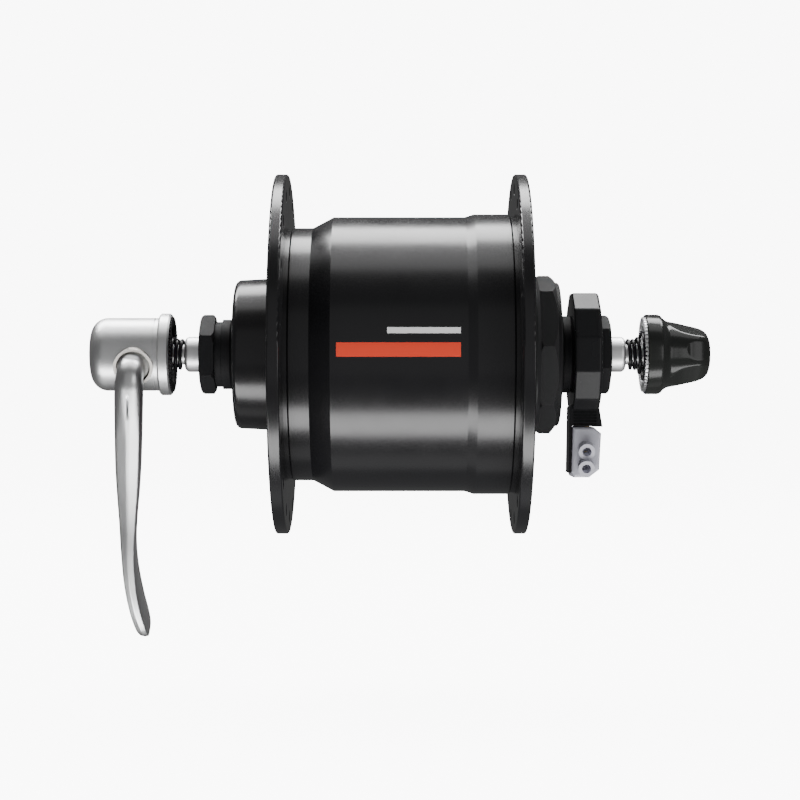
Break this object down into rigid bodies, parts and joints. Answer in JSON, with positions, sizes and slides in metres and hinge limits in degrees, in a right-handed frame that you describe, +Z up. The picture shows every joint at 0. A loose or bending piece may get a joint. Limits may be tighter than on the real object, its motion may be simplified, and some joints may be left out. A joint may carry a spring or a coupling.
{
  "type": "bicycle hub dynamo",
  "caption": "Front wheel hub with a built-in claw-pole lighting generator, two spoke flanges, a quick-release skewer and a lamp connector.",
  "frame": {"origin": "on the axle's centre line, midway between the outer faces of the two locknuts", "axes": "+Y along the axle towards the quick-release lever, +X forward, +Z up"},
  "size_m": [0.088, 0.1514, 0.1152],
  "materials": {
    "shell_black": "turned and black anodised, satin",
    "cover_black": "black anodised, satin",
    "steel_black": "black-plated steel, semi-gloss",
    "steel_bright": "ground steel",
    "bearing_steel": "polished",
    "spring_black": "black-oiled wire",
    "lever_silver": "polished, satin",
    "cap_silver": "bead-blasted, satin",
    "nut_black": "black painted, semi-gloss",
    "housing_black": "gloss moulded",
    "plug_grey": "satin moulded",
    "bobbin_plastic": "natural moulded",
    "copper": "enamelled copper",
    "brass": "bright",
    "yoke_steel": "stamped, bare",
    "magnet": "ground, nickel-grey",
    "rubber": "matt",
    "bush_steel": "turned"
  },
  "bodies": {
    "axle_assembly": {"axle": "steel_bright", "left_cone": "steel_black", "right_cone": "steel_black", "left_washer": "steel_black", "left_locknut": "steel_black", "right_locknut": "steel_black", "stator_core": "yoke_steel", "left_claw_yoke": "yoke_steel", "right_claw_yoke": "yoke_steel", "coil_bobbin": "bobbin_plastic", "coil_winding": "copper", "stator_nut": "yoke_steel", "coil_lead": "copper", "connector_housing": "housing_black", "terminals": "brass"},
    "hub": {"hub_shell": "shell_black", "right_cover": "cover_black", "cover_gasket": "rubber", "flux_ring": "yoke_steel", "magnet_1": "magnet", "magnet_2": "magnet", "magnet_3": "magnet", "magnet_4": "magnet", "left_bearing_cup": "bearing_steel", "right_bearing_cup": "bearing_steel", "left_dust_cap": "steel_black", "right_dust_cap": "steel_black"},
    "left_ball_set": {"left_balls": "bearing_steel", "left_ball_cage": "yoke_steel"},
    "right_ball_set": {"right_balls": "bearing_steel", "right_ball_cage": "yoke_steel"},
    "skewer": {"skewer_rod": "steel_bright", "left_volute_spring": "spring_black"},
    "cap": {"lever_cap": "cap_silver", "cap_grip_ring": "steel_black", "cam_bush": "bush_steel"},
    "lever": {"cam_lever": "lever_silver", "cam_retainer": "lever_silver"},
    "nut_spring": {"right_volute_spring": "spring_black"},
    "nut": {"tension_nut": "nut_black", "nut_grip_ring": "steel_bright"},
    "plug": {"plug_body": "plug_grey", "plug_sockets": "brass"}
  },
  "joints": [
    {"name": "hub_spin", "type": "hinge", "parent": "axle_assembly", "child": "hub", "pos_m": [0, 0, 0], "axis": [0, 1, 0], "continuous": true},
    {"name": "left_bearing_roll", "type": "hinge", "parent": "axle_assembly", "child": "left_ball_set", "pos_m": [0, 0.0365, 0], "axis": [0, 1, 0], "continuous": true},
    {"name": "right_bearing_roll", "type": "hinge", "parent": "axle_assembly", "child": "right_ball_set", "pos_m": [0, -0.0335, 0], "axis": [0, 1, 0], "continuous": true},
    {"name": "skewer_spin", "type": "hinge", "parent": "axle_assembly", "child": "skewer", "pos_m": [0, 0, 0], "axis": [0, 1, 0], "continuous": true},
    {"name": "cap_draw", "type": "slide", "parent": "skewer", "child": "cap", "axis": [0, 1, 0], "range_m": [0, 0.0012], "deforming": ["left_volute_spring"]},
    {"name": "lever_flip", "type": "hinge", "parent": "cap", "child": "lever", "pos_m": [0, 0.0658, 0], "axis": [0.9272, 0, 0.3746], "range_deg": [0, 180]},
    {"name": "nut_advance", "type": "slide", "parent": "skewer", "child": "nut_spring", "axis": [0, 1, 0], "range_m": [0, 0.0032], "deforming": ["right_volute_spring"]},
    {"name": "nut_turn", "type": "hinge", "parent": "nut_spring", "child": "nut", "pos_m": [0, -0.0665, 0], "axis": [0, 1, 0], "range_deg": [0, 1440]},
    {"name": "plug_pull", "type": "slide", "parent": "axle_assembly", "child": "plug", "axis": [0, 0, -1], "range_m": [0, 0.02]}
  ],
  "couplings": [
    {"joint": "left_bearing_roll", "follows": "hub_spin", "ratio": 0.583},
    {"joint": "right_bearing_roll", "follows": "hub_spin", "ratio": 0.583},
    {"joint": "cap_draw", "follows": "lever_flip", "m_per_rad": 0.00038197},
    {"joint": "nut_advance", "follows": "nut_turn", "m_per_rad": 0.00012732}
  ]
}
